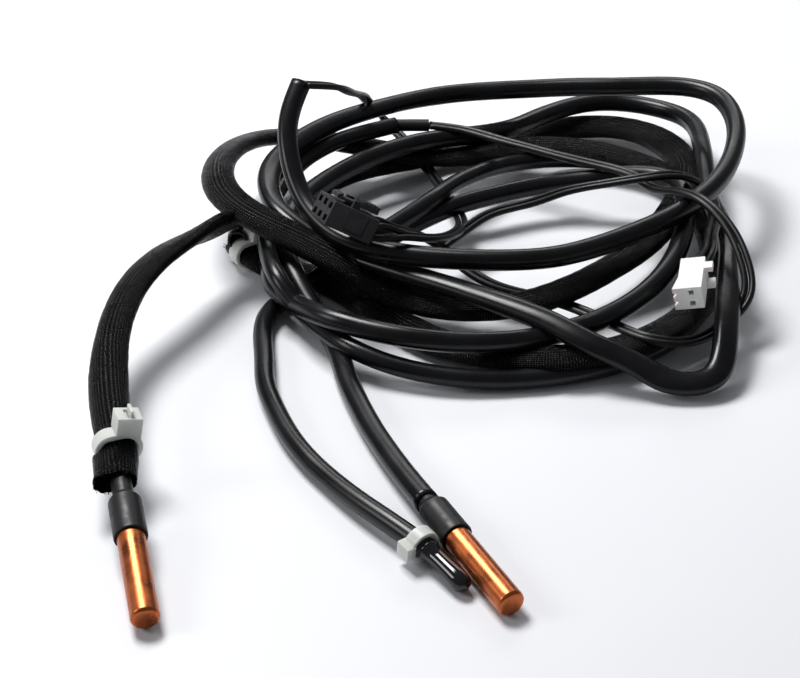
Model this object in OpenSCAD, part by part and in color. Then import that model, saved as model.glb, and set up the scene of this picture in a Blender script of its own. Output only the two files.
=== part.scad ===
// A set of three thermistor temperature sensors: two copper pipe probes and one dipped air probe,
// on black tubing-covered leads that end in a latching plug and a small friction-lock plug.
// Millimetres. +Z is up and the set lies on the plane Z = 0. The origin is on that plane, under
// the middle of the three sensing heads.

/* [Copper probes] */
// Outside diameter of the drawn copper shell
shell_d = 5; // [4:0.1:7]
// Length of the copper shell
shell_len = 25; // [18:0.5:40]
// Wall of the copper shell
shell_wall = 0.5; // [0.3:0.05:0.8]
// Radius of the rounded rim at the closed end
shell_rim = 0.7; // [0.3:0.05:1]
// Depth of the groove that keys the collar
groove_deep = 0.2; // [0.1:0.05:0.25]
// Length of shell that the shrink collar covers
collar_grip = 6; // [3:0.5:9]
// Wall of the shrink collar
collar_wall = 0.5; // [0.3:0.05:0.8]
// Length of the full-width part of the collar
collar_len = 8.7; // [7:0.1:14]
// Length of the narrow neck on the collar of the sleeved probe
neck_len_a = 4.3; // [2:0.1:10]
// Length of the narrow neck on the collar of the plain probe
neck_len_b = 1.6; // [1:0.1:10]

/* [Sensing elements] */
// Diameter of the glass thermistor bead
bead_d = 1.6; // [1:0.1:2.2]
// Length of the glass thermistor bead
bead_len = 3; // [2:0.1:5]
// Diameter of the insulated lead wires
wire_d = 1.4; // [1:0.05:1.6]
// Diameter of the bare conductor at the bead
core_d = 0.5; // [0.3:0.05:0.7]

/* [Dipped air probe] */
// Diameter of the dipped tip
tip_d = 3.6; // [3:0.1:5]
// Length of the dipped tip
tip_len = 11; // [8:0.5:18]

/* [Tubing] */
// Diameter of the tubing on the plain pipe probe
tube_b_d = 4.4; // [3.6:0.1:4.8]
// Diameter of the tubing on the air probe
tube_c_d = 4; // [3.4:0.1:4.2]
// Width of the flattened woven sleeve
sleeve_w = 6.6; // [5.5:0.1:7.2]
// Thickness of the flattened woven sleeve
sleeve_t = 4; // [3:0.1:4.4]
// Outside diameter of the shrink over the splice
splice_d = 2.9; // [2.6:0.1:3.2]
// Length of the shrink over the splice
splice_len = 8; // [6:0.5:9]

/* [Coil] */
// Radius of the coiled bundle at its outside
coil_r = 66; // [60:0.5:70]
// Height of the coiled bundle
coil_h = 11; // [8:0.5:11]
// Radius of the open middle
coil_hole_r = 18; // [12:0.5:20]

/* [Latching plug] */
// Distance between neighbouring contacts
plug_pitch = 3; // [2.5:0.1:4]
// Contacts in a row
plug_cols = 3; // [2:1:4]
// Width of the housing beyond the outer contacts, both sides together
plug_side = 3.2; // [2.8:0.1:4]
// Height of the housing
plug_h = 5.4; // [5.2:0.1:7]
// Length of the housing
plug_l = 11.2; // [10:0.1:14]
// Distance between the two rows of contacts
plug_rows = 2.8; // [2.6:0.1:3.4]
// Width of the latch lever
latch_w = 3.6; // [2.6:0.1:4]
// Thickness of the latch lever
latch_t = 0.6; // [0.4:0.05:0.8]
// Gap under the latch lever
latch_gap = 0.6; // [0.5:0.05:0.8]
// Diameter of the lever's torsion bar
latch_bar_d = 0.7; // [0.5:0.05:0.8]
// Clearance around the torsion bar
latch_fit = 0.05; // [0.02:0.01:0.1]

/* [Friction-lock plug] */
// Distance between its two contacts
header_pitch = 2.54; // [2:0.02:3]
// Thickness of its housing
header_t = 5.6; // [4.6:0.1:7]
// Length of its housing
header_l = 11.4; // [9:0.1:14]
// How far its two lugs stand out
lug_out = 1.7; // [0.8:0.1:2.2]

/* [Cable ties] */
// Width of a tie's strap
strap_w = 3.4; // [2.5:0.1:4.5]
// Thickness of a tie's strap
strap_t = 1; // [0.6:0.1:1.2]
// Side of a tie's square head
tie_head = 4.6; // [3.6:0.1:5.5]
// Width of the small ring tie on the air probe
ring_w = 2.4; // [1.6:0.1:3]
// Wall of the small ring tie
ring_wall = 0.75; // [0.5:0.05:0.8]

/* [Hidden] */
$fn = 48;
eps = 0.01;

// Where the rear end of each probe meets its lead, on plan, and its heading: the angle from +X,
// along the piece from its sensing end towards its lead. The sleeved probe is held up at its
// rear by the sleeve; the plain probe and the air probe lie on the bench.
probe_a_rear = [-34.5, 16.3, 7.1];
probe_a_heading = 104;
probe_b_rear = [19.6, 15.3];
probe_b_heading = 117;
tip_c_rear = [19.8, 1.9, 2.95];
tip_c_heading = 126;
ring_c_behind = 2;
tie_a_at = [-36.2, 25, 8.6];
tie_a_turn = [0, 4, 110];
tie_d_at = [-18.5, 107.5, 3.7];
tie_d_turn = [0, 0, 124];
coil_at = [39, 120, 0];
coil_hole_at = [9, -13, 0];
plug_at = [3.6, 88, 22.3];
plug_turn = [-33, -10, -68];
header_at = [74.5, 72.5, 15.5];
header_turn = [4, -13, -13];

// Route of the woven sleeve from its cut end to the coil.
sleeve_route = [[-34.4, 16, 7.2], [-36.3, 25, 8.6], [-38.8, 35, 9], [-40.8, 47, 10],
    [-41.2, 60, 12.5], [-38.4, 73, 15.5], [-32.6, 84.5, 16.5], [-26, 96, 15], [-19.5, 107, 12.5]];
// Route of the plain probe's tubing from its cut end to the coil.
lead_b_route = [[19.9, 14.7, 3.4], [17, 21, 3.1], [12, 33, 2.6], [7.5, 46, 2.3], [4, 59, 2.3],
    [1.5, 70, 2.3]];
// Route of the air probe's tubing from the dipped tip to the coil.
lead_c_route = [[19.8, 1.9, 3], [18.5, 3.5, 3.1], [10.6, 12.3, 3], [3, 22.2, 2.4],
    [-3.8, 33, 2.2], [-8.7, 45, 2.2], [-12, 58, 2.2], [-13, 71, 2.2], [-12, 84, 2.3]];
// Route of the top loop of tubing: its open end stands up, then it runs round over the coil.
loop_b_route = [[-7, 126, 36], [-9.5, 120, 30.5], [-9, 112, 23.5], [-5.5, 104, 17.5],
    [2.5, 94, 14.2], [14, 88.5, 13.6], [25, 86, 13.6], [36, 85, 13.8], [47, 86, 14], [58, 91, 14.3],
    [69, 98, 15], [79, 107, 15.8], [87, 118, 17], [92, 131, 18.5], [93.5, 144, 20],
    [90, 155, 21], [81, 160.5, 20.5], [69, 162.5, 19.5], [57, 164.5, 18.5], [45, 165.5, 17.5],
    [33, 165, 17], [21, 162.5, 16.5], [9, 157, 16], [-2, 149, 15.5], [-10, 139, 14.8],
    [-14.5, 128, 14], [-14, 116, 13.3], [-10, 107, 12.6]];
// Route of the air probe's tubing where it rises out of the coil to its splice.
tail_c_route = [[-6, 142, 10.8], [3, 148.5, 12.4], [14, 153, 13.5]];
// Routes of the thin wire pairs.
tail_a_route = [[-6, 124.5, 36.3], [-3.2, 125.6, 36], [0.4, 129.5, 33.7], [3.5, 138.5, 28.5],
    [5.5, 149.5, 23], [7, 158, 18], [8.8, 163, 12.5], [12, 163, 9.6], [15.5, 159, 7.5],
    [18.5, 153.5, 6.5], [21.7, 145.9, 5.5], [25.8, 132.5, 5.5], [28.3, 120.9, 6.5],
    [28.6, 109.4, 9], [25.3, 98.1, 12.5], [20.9, 91.6, 15.5], [15, 88.8, 17.8],
    [9.7, 86.9, 19.5]];
tail_b_route = [[22, 153, 13.5], [31, 150, 13.5], [39, 144.5, 13.5], [48, 139, 13.4],
    [57, 133.5, 13.3], [65.5, 128.5, 13.4], [69.5, 123, 13.8], [72, 116.5, 14.6],
    [75, 110.5, 17], [78, 105.5, 18.9], [81.5, 100, 18.6], [85, 93.5, 16.4], [87, 86, 12.8],
    [87, 80, 9]];
plug_wires_route = [[7.4, 92.1, 18.6], [12, 94, 17.2], [17.5, 95.5, 14.5], [23, 97, 11]];
header_wires_route = [[75.7, 78.3, 15.9], [78.6, 83, 15.6], [81, 93, 14.6], [83.5, 103, 13.2],
    [84.5, 110, 12.4], [85, 116.5, 12.4], [84, 121.5, 12.6], [80.5, 122, 14.6],
    [76, 117.5, 17.4], [69, 118.5, 16.4], [60, 119.5, 14.2], [51, 119, 12.4], [42, 115, 11.2]];

// Dimensions that follow from the ones above.
shell_r = shell_d / 2;
bore_r = shell_r - shell_wall;
floor_t = 1;
collar_from = shell_len - collar_grip;
collar_step = 1.4;
neck_r = wire_d + collar_wall;
wires_r = wire_d + 0.05;
probe_len = collar_from + collar_len + collar_step;
bench_gap = 0.1;
potting_len = shell_len - 1;
bead_from = floor_t + 0.8;
core_gap = bead_d * 0.55;
plug_w = (plug_cols - 1) * plug_pitch + plug_side;
cavity = 2.2;
mouth = 1.3;
mouth_deep = 3.2;
latch_len = plug_l - 1.6;
latch_pivot = 0;
latch_z = plug_h / 2 + latch_gap;
post_t = 0.8;
post_gap = 0.15;
header_w = 2 * header_pitch;
ring_fit = 0.2;
ring_head = 1.8;
stub_len = 1.6;
wire_pair_w = 2 * wire_d;

// ---- Swept tubes -------------------------------------------------------------------------

function unit(v) = v / norm(v);

// Direction of a route at one of its points.
function heading_at(route, i) =
    unit(route[min(i + 1, len(route) - 1)] - route[max(i - 1, 0)]);

// Level direction across a route at one of its points.
function across_at(route, i) = unit(cross(heading_at(route, i), [0, 0, 1]));

// One ring of points around a route, w wide across and t thick.
function ring_at(route, i, w, t, sides) =
    let (s = across_at(route, i), u = cross(s, heading_at(route, i)))
    [for (k = [0 : sides - 1])
        route[i] + s * w / 2 * cos(360 * k / sides) + u * t / 2 * sin(360 * k / sides)];

// A closed tube that follows a route.
module swept(route, w, t, sides = 8) {
    rings = len(route);
    points = [for (i = [0 : rings - 1]) each ring_at(route, i, w, t, sides)];
    start_cap = [[for (k = [0 : sides - 1]) k]];
    end_cap = [[for (k = [sides - 1 : -1 : 0]) (rings - 1) * sides + k]];
    walls = [for (i = [0 : rings - 2], k = [0 : sides - 1])
        let (a = i * sides + k, b = i * sides + (k + 1) % sides)
        each [[a, a + sides, b + sides], [a, b + sides, b]]];
    polyhedron(points = points, faces = concat(start_cap, walls, end_cap), convexity = 6);
}

// ---- Probes ------------------------------------------------------------------------------

// Lays a piece, drawn along +X from its sensing end, so that its rear end is where it is
// given and its front rests on the bench on its radius r.
module lay_between(rear, heading, length, r) {
    rise = asin((rear[2] - r) / length);
    translate([rear[0], rear[1], r]) rotate([0, 0, heading])
        translate([-length * cos(rise), 0, 0]) rotate([0, -rise, 0]) children();
}

module place_a() {
    lay_between(probe_a_rear, probe_a_heading, probe_len + neck_len_a, shell_r) children();
}

// The plain probe lies on the rim of its shell and the front edge of its collar.
module place_b() {
    length = probe_len + neck_len_b;
    rear_z = shell_r + length * (collar_wall + bench_gap) / collar_from;
    lay_between([probe_b_rear[0], probe_b_rear[1], rear_z], probe_b_heading, length, shell_r)
        children();
}

module place_c() {
    lay_between(tip_c_rear, tip_c_heading, tip_len, tip_d / 2) children();
}

// A solid of revolution about +X, from an outline of [distance along X, radius].
module turned(outline) {
    rotate([0, 90, 0]) rotate([0, 0, 90]) rotate_extrude() polygon([for (p = outline) [p[1], p[0]]]);
}

// A plain round bar along +X.
module bar(from, to, d) {
    translate([from, 0, 0]) rotate([0, 90, 0]) cylinder(h = to - from, d = d);
}

// Quarter-round from the closed end's face to the shell's side.
function rim(r, edge) =
    [for (a = [0 : 15 : 90]) [edge - edge * cos(a), r - edge + edge * sin(a)]];

// Closed copper tube, with a shallow groove under the front of the collar that keys it.
module probe_shell() {
    color([0.72, 0.38, 0.18]) turned(concat(
        [[0, 0]],
        [for (p = rim(shell_r, shell_rim)) [p[0], p[1]]],
        [[collar_from, shell_r], [collar_from + 0.3, shell_r - groove_deep],
            [collar_from + 1.1, shell_r - groove_deep], [collar_from + 1.4, shell_r]],
        [[shell_len, shell_r], [shell_len, bore_r], [floor_t, bore_r], [floor_t, 0]]));
}

module thermistor_bead(from) {
    color([0.35, 0.2, 0.12]) turned(concat(
        [[from, 0]],
        [for (a = [15 : 15 : 90]) [from + bead_d / 2 * (1 - cos(a)), bead_d / 2 * sin(a)]],
        [for (a = [90 : -15 : 15])
            [from + bead_len - bead_d / 2 * (1 - cos(a)), bead_d / 2 * sin(a)]],
        [[from + bead_len, 0]]));
}

// Two lead wires: bare at the bead, insulated from core_to on.
module wire_pair(bead_at, core_to, to) {
    for (side = [-1, 1]) {
        color([0.75, 0.72, 0.68])
            translate([0, side * core_gap / 2, 0]) bar(bead_at + bead_len, core_to, core_d);
        color([0.05, 0.05, 0.06])
            translate([0, side * wire_d / 2, 0]) bar(core_to, to, wire_d);
    }
}

// Resin that fills the shell around the bead and the bare wires.
module potting() {
    color([0.1, 0.09, 0.08]) difference() {
        bar(floor_t, potting_len, 2 * bore_r);
        thermistor_bead(bead_from);
        for (side = [-1, 1])
            translate([0, side * core_gap / 2, 0])
                bar(bead_from + bead_len - bead_d / 4, potting_len + eps, core_d);
    }
}

module probe_wires(neck_len) {
    wire_pair(bead_from, potting_len, probe_len + neck_len);
}

// Stepped heat-shrink collar: wide over the shell, narrow over the wires.
module shrink_collar(neck_len) {
    step_from = collar_from + collar_len;
    neck_from = probe_len;
    neck_to = neck_from + neck_len;
    outer = shell_r + collar_wall;
    color([0.13, 0.13, 0.14]) turned([
        [collar_from, shell_r], [collar_from, outer], [step_from, outer],
        [neck_from, neck_r], [neck_to, neck_r], [neck_to, wires_r],
        [neck_from, wires_r], [shell_len + 0.4, shell_r]]);
}

module probe_shell_a() {
    place_a() probe_shell();
}

module potting_a() {
    place_a() potting();
}

module bead_a() {
    place_a() thermistor_bead(bead_from);
}

module lead_wires_a() {
    place_a() probe_wires(neck_len_a);
}

module collar_a() {
    place_a() shrink_collar(neck_len_a);
}

module probe_shell_b() {
    place_b() probe_shell();
}

module potting_b() {
    place_b() potting();
}

module bead_b() {
    place_b() thermistor_bead(bead_from);
}

module lead_wires_b() {
    place_b() probe_wires(neck_len_b);
}

module collar_b() {
    place_b() shrink_collar(neck_len_b);
}

// ---- Dipped air probe --------------------------------------------------------------------

tip_bead_from = 1.5;
tip_wires_d = core_d;

module dipped_tip_c() {
    r = tip_d / 2;
    place_c() color([0.03, 0.03, 0.035]) difference() {
        turned(concat(
            [[0, 0]],
            [for (a = [15 : 15 : 90]) [r * (1 - cos(a)), r * sin(a)]],
            [[tip_len - 1.5, r], [tip_len, tube_c_d / 2], [tip_len, 0]]));
        thermistor_bead(tip_bead_from);
        for (side = [-1, 1])
            translate([0, side * core_gap / 2, 0])
                bar(tip_bead_from + bead_len - bead_d / 4, tip_len + eps, tip_wires_d);
    }
}

module bead_c() {
    place_c() thermistor_bead(tip_bead_from);
}

module lead_wires_c() {
    place_c() color([0.75, 0.72, 0.68])
        for (side = [-1, 1])
            translate([0, side * core_gap / 2, 0])
                bar(tip_bead_from + bead_len, tip_len, tip_wires_d);
}

// Small nylon tie cut flush, round the tubing just behind the dipped tip.
module tie_ring_c() {
    inner = tube_c_d / 2 + ring_fit;
    outer = inner + ring_wall;
    place_c() translate([tip_len + ring_c_behind - ring_w / 2, 0, 0])
        color([0.9, 0.9, 0.86]) difference() {
            union() {
                bar(0, ring_w, 2 * outer);
                translate([-0.3, inner, -1.5]) cube([ring_w + 0.6, ring_head, ring_head + 1]);
            }
            bar(-1, ring_w + 1, 2 * inner);
        }
}

// ---- Tubing, sleeve and coil -------------------------------------------------------------

module tube_lead_b() {
    color([0.06, 0.06, 0.07]) swept(lead_b_route, tube_b_d, tube_b_d);
}

module tube_lead_c() {
    color([0.06, 0.06, 0.07]) swept(lead_c_route, tube_c_d, tube_c_d);
}

module tube_loop_b() {
    color([0.06, 0.06, 0.07]) swept(loop_b_route, tube_b_d, tube_b_d);
}

module tube_tail_c() {
    color([0.06, 0.06, 0.07]) swept(tail_c_route, tube_c_d, tube_c_d);
}

module sleeve_lead() {
    color([0.04, 0.04, 0.04]) swept(sleeve_route, sleeve_w, sleeve_t, 12);
}

// The bundle of turns as one ring with rounded edges and an off-centre open middle.
module coil() {
    edge = 4;
    color([0.08, 0.08, 0.09]) translate(coil_at) difference() {
        rotate_extrude($fn = 96) polygon(concat(
            [[0, 0]],
            [for (a = [-90 : 22.5 : 0]) [coil_r - edge + edge * cos(a), edge + edge * sin(a)]],
            [for (a = [0 : 22.5 : 90])
                [coil_r - edge + edge * cos(a), coil_h - edge + edge * sin(a)]],
            [[0, coil_h]]));
        translate(coil_hole_at + [0, 0, -1]) cylinder(h = coil_h + 2, r = coil_hole_r);
    }
}

// Heat-shrink over the joint between the air probe's lead and its thin wires.
module splice_shrink() {
    splice_from = tail_c_route[len(tail_c_route) - 1];
    color([0.12, 0.12, 0.13]) translate(splice_from) bar(0, splice_len, splice_d);
}

module wires_tail_a() {
    color([0.05, 0.05, 0.06]) swept(tail_a_route, wire_pair_w, wire_d);
}

module wires_tail_b() {
    color([0.05, 0.05, 0.06]) swept(tail_b_route, wire_pair_w, wire_d);
}

module wires_plug() {
    color([0.05, 0.05, 0.06]) swept(plug_wires_route, wire_pair_w, wire_d);
}

module wires_header() {
    color([0.05, 0.05, 0.06]) swept(header_wires_route, wire_pair_w, wire_d);
}

// ---- Latching plug -----------------------------------------------------------------------

// The plug is drawn with its contacts in rows along X, its mating face at -Y and its latch on +Z.
module place_plug() {
    translate(plug_at) rotate(plug_turn) children();
}

// Puts its children at each contact cavity.
module each_cavity() {
    for (i = [0 : plug_cols - 1], row = [-1, 1])
        translate([(i - (plug_cols - 1) / 2) * plug_pitch, 0, row * plug_rows / 2]) children();
}

// Puts its children at the cavities that hold a wire: the outer columns.
module each_contact() {
    for (i = [-1, 1], row = [-1, 1])
        translate([i * (plug_cols - 1) / 2 * plug_pitch, 0, row * plug_rows / 2]) children();
}

module plug_housing() {
    half = plug_l / 2;
    post_from = latch_w / 2 + post_gap;
    bar_z = latch_z + latch_t / 2;
    place_plug() color([0.14, 0.14, 0.15]) difference() {
        union() {
            translate([-plug_w / 2, -half, -plug_h / 2]) cube([plug_w, plug_l, plug_h]);
            for (side = [-1, 1])
                translate([side * (post_from + post_t / 2) - post_t / 2, latch_pivot - 0.9,
                        plug_h / 2 - eps])
                    cube([post_t, 1.8, latch_gap + latch_t + 0.5]);
        }
        each_cavity() {
            translate([-mouth / 2, -half - eps, -mouth / 2]) cube([mouth, mouth_deep + 1, mouth]);
            translate([-cavity / 2, mouth_deep - half, -cavity / 2])
                cube([cavity, plug_l - mouth_deep + eps, cavity]);
        }
        // Side recesses where the contacts' lances show.
        for (side = [-1, 1])
            translate([side * (plug_w / 2) - 0.35, -half + 4.2, -plug_h / 2 + 0.7])
                cube([0.7, 4.6, plug_h - 1.4]);
        // Bore for the torsion bar.
        translate([-post_from - post_t - 1, latch_pivot, bar_z])
            rotate([0, 90, 0])
                cylinder(h = 2 * (post_from + post_t + 1), d = latch_bar_d + 2 * latch_fit);
    }
}

// Latch lever: a hook at the mating end, a ribbed thumb pad at the wire end, on a torsion bar.
module plug_latch() {
    half = plug_l / 2;
    front = latch_pivot - latch_len / 2 + 0.3;
    bar_len = latch_w + 2 * (post_gap + post_t);
    place_plug() color([0.14, 0.14, 0.15]) union() {
        translate([-latch_w / 2, front, latch_z]) cube([latch_w, half - front, latch_t]);
        // Hook.
        translate([-latch_w / 2, front, latch_z + latch_t - eps])
            rotate([90, 0, 90])
                linear_extrude(latch_w) polygon([[0, 0], [0, 0.2], [1.1, 0.7], [1.1, 0]]);
        // Thumb pad with ribs across it.
        translate([-latch_w / 2, 1.4, latch_z + latch_t - eps]) cube([latch_w, half - 1.4, 0.7]);
        for (i = [0 : 3])
            translate([-latch_w / 2, 2 + i * 1.05, latch_z + latch_t + 0.6])
                cube([latch_w, 0.45, 0.35]);
        translate([-bar_len / 2, latch_pivot, latch_z + latch_t / 2])
            rotate([0, 90, 0]) cylinder(h = bar_len, d = latch_bar_d);
    }
}

// Crimped receptacle contacts.
module plug_contacts() {
    half = plug_l / 2;
    box = cavity - 0.3;
    place_plug() color([0.75, 0.62, 0.35]) each_contact() difference() {
        union() {
            translate([-box / 2, mouth_deep - half, -box / 2]) cube([box, 4, box]);
            translate([0, mouth_deep - half + 4 - eps, 0]) rotate([-90, 0, 0])
                cylinder(h = 2.4, d = wire_d + 0.4);
        }
        translate([-0.4, mouth_deep - half - eps, -0.4]) cube([0.8, 3.4, 0.8]);
        translate([0, mouth_deep - half + 4.2, 0]) rotate([-90, 0, 0])
            cylinder(h = 3, d = wire_d);
    }
}

// The ends of the wires, from the crimps to just outside the housing.
module plug_wire_stubs() {
    half = plug_l / 2;
    crimp_from = mouth_deep - half + 4.2;
    place_plug() color([0.05, 0.05, 0.06]) each_contact()
        translate([0, crimp_from, 0]) rotate([-90, 0, 0])
            cylinder(h = half - crimp_from + stub_len / 2, d = wire_d);
}

// ---- Friction-lock plug ------------------------------------------------------------------

// Drawn with its mating face at -Y, its contacts one above the other and its lugs on +X.
module place_header() {
    translate(header_at) rotate(header_turn) children();
}

module each_header_contact() {
    for (row = [-1, 1])
        translate([0, 0, row * header_pitch / 2]) children();
}

module header_housing() {
    half = header_l / 2;
    place_header() color([0.95, 0.95, 0.93]) difference() {
        union() {
            translate([-header_t / 2, -half, -header_w / 2]) cube([header_t - 0.6, header_l, header_w]);
            // Lugs beside the wire end.
            for (row = [-1, 1])
                translate([header_t / 2 - 0.6 - eps, half - 4.4, row * (header_w / 2 - 0.55) - 0.55])
                    cube([lug_out, 2.4, 1.1]);
            // Flared ribs at the mating end.
            for (row = [-1 : 1])
                translate([-header_t / 2 + eps, -half, row * (header_w / 2 - 0.6) + 0.6])
                    rotate([0, 180, 0])
                        linear_extrude(1.2) polygon([[0, 0], [0.9, 0], [0.1, 4], [0, 4]]);
        }
        each_header_contact() {
            translate([-0.5, -half - eps, -0.5]) cube([1, 3.4, 1]);
            translate([-0.95, -half + 3, -0.95]) cube([1.9, header_l, 1.9]);
        }
    }
}

module header_contacts() {
    half = header_l / 2;
    place_header() color([0.78, 0.74, 0.6]) each_header_contact() union() {
        difference() {
            translate([-0.85, -half + 3.2, -0.85]) cube([1.7, 4, 1.7]);
            translate([-0.35, -half + 3.2 - eps, -0.35]) cube([0.7, 3.2, 0.7]);
        }
        translate([0, -half + 7.2 - eps, 0]) rotate([-90, 0, 0])
            cylinder(h = header_l - 7.2, d = wire_d);
    }
}

// ---- Cable ties --------------------------------------------------------------------------

// Oval hole or outline: a flat middle with round ends.
module stadium(w, h) {
    square([w - h, h], center = true);
    for (side = [-1, 1])
        translate([side * (w - h) / 2, 0]) circle(d = h);
}

tie_hole_w = sleeve_w + 0.2;
tie_hole_h = sleeve_t + 0.2;

// A strap drawn round +X, with its head on top and to one side.
module tie_strap() {
    color([0.88, 0.88, 0.83]) translate([-strap_w / 2, 0, 0]) rotate([90, 0, 90])
        linear_extrude(strap_w) difference() {
            stadium(tie_hole_w + 2 * strap_t, tie_hole_h + 2 * strap_t);
            stadium(tie_hole_w, tie_hole_h);
        }
}

tie_head_z = tie_hole_h / 2 + strap_t;
tie_head_h = 3.2;
// How far the head's saddle reaches down the strap's curve, and how far the head leans.
tie_saddle = 0.9;
tie_lean = 12;
tie_slot = 1.5;
tie_tail_t = 0.6;
tail_w = strap_w - 0.2;
tail_root = 0.4;

// Puts what is drawn on top of the strap at the shoulder of its curve.
module at_shoulder() {
    translate([0, -(tie_hole_w - tie_hole_h) / 2, 0]) rotate([tie_lean, 0, 0]) children();
}

// Head with a slot for the strap; its saddle follows the strap's outside.
module tie_head_block() {
    color([0.9, 0.9, 0.86]) difference() {
        at_shoulder() translate([-tie_head / 2, -tie_head / 2, tie_head_z - tie_saddle])
            cube([tie_head, tie_head, tie_head_h + tie_saddle]);
        at_shoulder() translate([-strap_w / 2, -tie_slot / 2, tie_head_z - tie_saddle - eps])
            cube([strap_w, tie_slot, tie_head_h + tie_saddle + 2 * eps]);
        translate([-tie_head / 2 - eps, 0, 0]) rotate([90, 0, 90])
            linear_extrude(tie_head + 2 * eps)
                stadium(tie_hole_w + 2 * strap_t, tie_hole_h + 2 * strap_t);
    }
}

module place_tie_a() {
    translate(tie_a_at) rotate(tie_a_turn) children();
}

module tie_strap_a() {
    place_tie_a() {
        tie_strap();
        // Cut tail that stands up out of the head.
        color([0.88, 0.88, 0.83]) at_shoulder()
            translate([-tail_w / 2, -tie_slot / 2 + 0.1, tie_head_z - tail_root])
                cube([tail_w, tie_tail_t, tie_head_h + tail_root + 1.2]);
    }
}

module tie_head_a() {
    place_tie_a() tie_head_block();
}

// The pawl that grips the strap's teeth inside the head.
module tie_pawl_a() {
    place_tie_a() color([0.9, 0.9, 0.86]) at_shoulder()
        translate([-strap_w / 2 + 0.3, tie_slot / 2 - 0.65, tie_head_z + 0.4])
            cube([strap_w - 0.6, 0.65, tie_head_h - 0.8]);
}

module place_tie_d() {
    translate(tie_d_at) rotate(tie_d_turn) children();
}

module tie_strap_d() {
    place_tie_d() tie_strap();
}

module tie_head_d() {
    place_tie_d() tie_head_block();
}

probe_shell_a();
potting_a();
bead_a();
lead_wires_a();
collar_a();
sleeve_lead();
tie_strap_a();
tie_head_a();
tie_pawl_a();
probe_shell_b();
potting_b();
bead_b();
lead_wires_b();
collar_b();
tube_lead_b();
dipped_tip_c();
bead_c();
lead_wires_c();
tie_ring_c();
tube_lead_c();
coil();
tube_loop_b();
tube_tail_c();
splice_shrink();
wires_tail_a();
wires_tail_b();
wires_plug();
wires_header();
plug_housing();
plug_latch();
plug_contacts();
plug_wire_stubs();
header_housing();
header_contacts();
tie_strap_d();
tie_head_d();
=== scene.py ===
import math

import bpy
import numpy as np
from mathutils import Euler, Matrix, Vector


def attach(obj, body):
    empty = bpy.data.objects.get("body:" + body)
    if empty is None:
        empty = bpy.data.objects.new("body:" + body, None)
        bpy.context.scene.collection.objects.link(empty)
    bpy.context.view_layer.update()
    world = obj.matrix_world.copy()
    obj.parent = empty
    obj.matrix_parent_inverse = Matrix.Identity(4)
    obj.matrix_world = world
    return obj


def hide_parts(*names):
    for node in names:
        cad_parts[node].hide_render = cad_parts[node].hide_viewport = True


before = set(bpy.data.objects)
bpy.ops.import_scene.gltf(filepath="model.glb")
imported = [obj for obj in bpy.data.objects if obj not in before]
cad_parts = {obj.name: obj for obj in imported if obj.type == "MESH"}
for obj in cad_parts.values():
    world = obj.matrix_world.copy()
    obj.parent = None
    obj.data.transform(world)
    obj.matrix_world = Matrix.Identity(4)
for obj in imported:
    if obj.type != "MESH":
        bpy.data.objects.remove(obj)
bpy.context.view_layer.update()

bl_info = {
    "name": "Temperature sensor set",
    "version": (1, 0, 0),
    "blender": (4, 5, 0),
    "location": "3D View > Sidebar > Sensors",
    "description": "Builds the looks of a coiled set of copper pipe probes and an air probe",
    "category": "Add Mesh",
}

MM = 0.001
BODY = "harness"

# ---- Routes, in millimetres, in the part's own frame ----------------------------------------

# Free stretches, as the part has them.
LEAD_A = [(-34.4, 16, 7.2), (-36.3, 25, 8.6), (-38.8, 35, 9), (-40.8, 47, 10),
          (-41.2, 60, 12.5), (-38.4, 73, 15.5), (-32.6, 84.5, 16.5), (-26, 96, 15),
          (-19.5, 107, 12.5)]
LEAD_B = [(19.9, 14.7, 3.4), (17, 21, 3.1), (12, 33, 2.6), (7.5, 46, 2.3), (4, 59, 2.3),
          (1.5, 70, 2.3)]
LEAD_C = [(19.8, 1.9, 3), (18.5, 3.5, 3.1), (10.6, 12.3, 3), (3, 22.2, 2.4), (-3.8, 33, 2.2),
          (-8.7, 45, 2.2), (-12, 58, 2.2), (-13, 71, 2.2), (-12, 84, 2.3)]
LOOP_B = [(-7, 126, 36), (-9.5, 120, 30.5), (-9, 112, 23.5), (-5.5, 104, 17.5),
          (2.5, 94, 14.2), (14, 88.5, 13.6), (25, 86, 13.6), (36, 85, 13.8), (47, 86, 14),
          (58, 91, 14.3), (69, 98, 15), (79, 107, 15.8), (87, 118, 17), (92, 131, 18.5),
          (93.5, 144, 20), (90, 155, 21), (81, 160.5, 20.5), (69, 162.5, 19.5),
          (57, 164.5, 18.5), (45, 165.5, 17.5), (33, 165, 17), (21, 162.5, 16.5), (9, 157, 16),
          (-2, 149, 15.5), (-10, 139, 14.8), (-14.5, 128, 14), (-14, 116, 13.3),
          (-10, 107, 12.6)]
TAIL_C = [(-6, 142, 10.8), (3, 148.5, 12.4), (14, 153, 13.5)]
TAIL_A = [(-6, 124.5, 36.3), (-3.2, 125.6, 36), (0.4, 129.5, 33.7), (3.5, 138.5, 28.5),
          (5.5, 149.5, 23), (7, 158, 18), (8.8, 163, 12.5), (12, 163, 9.6), (15.5, 159, 7.5),
          (18.5, 153.5, 6.5), (21.7, 145.9, 5.5), (25.8, 132.5, 5.5), (28.3, 120.9, 6.5),
          (28.6, 109.4, 9), (25.3, 98.1, 12.5), (20.9, 91.6, 15.5), (15, 88.8, 17.8),
          (9.7, 86.9, 19.5)]
TAIL_B = [(22, 153, 13.5), (31, 150, 13.5), (39, 144.5, 13.5), (48, 139, 13.4),
          (57, 133.5, 13.3), (65.5, 128.5, 13.4), (69.5, 123, 13.8), (72, 116.5, 14.6),
          (75, 110.5, 17), (78, 105.5, 18.9), (81.5, 100, 18.6), (85, 93.5, 16.4),
          (87, 86, 12.8), (87, 80, 9)]
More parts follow.
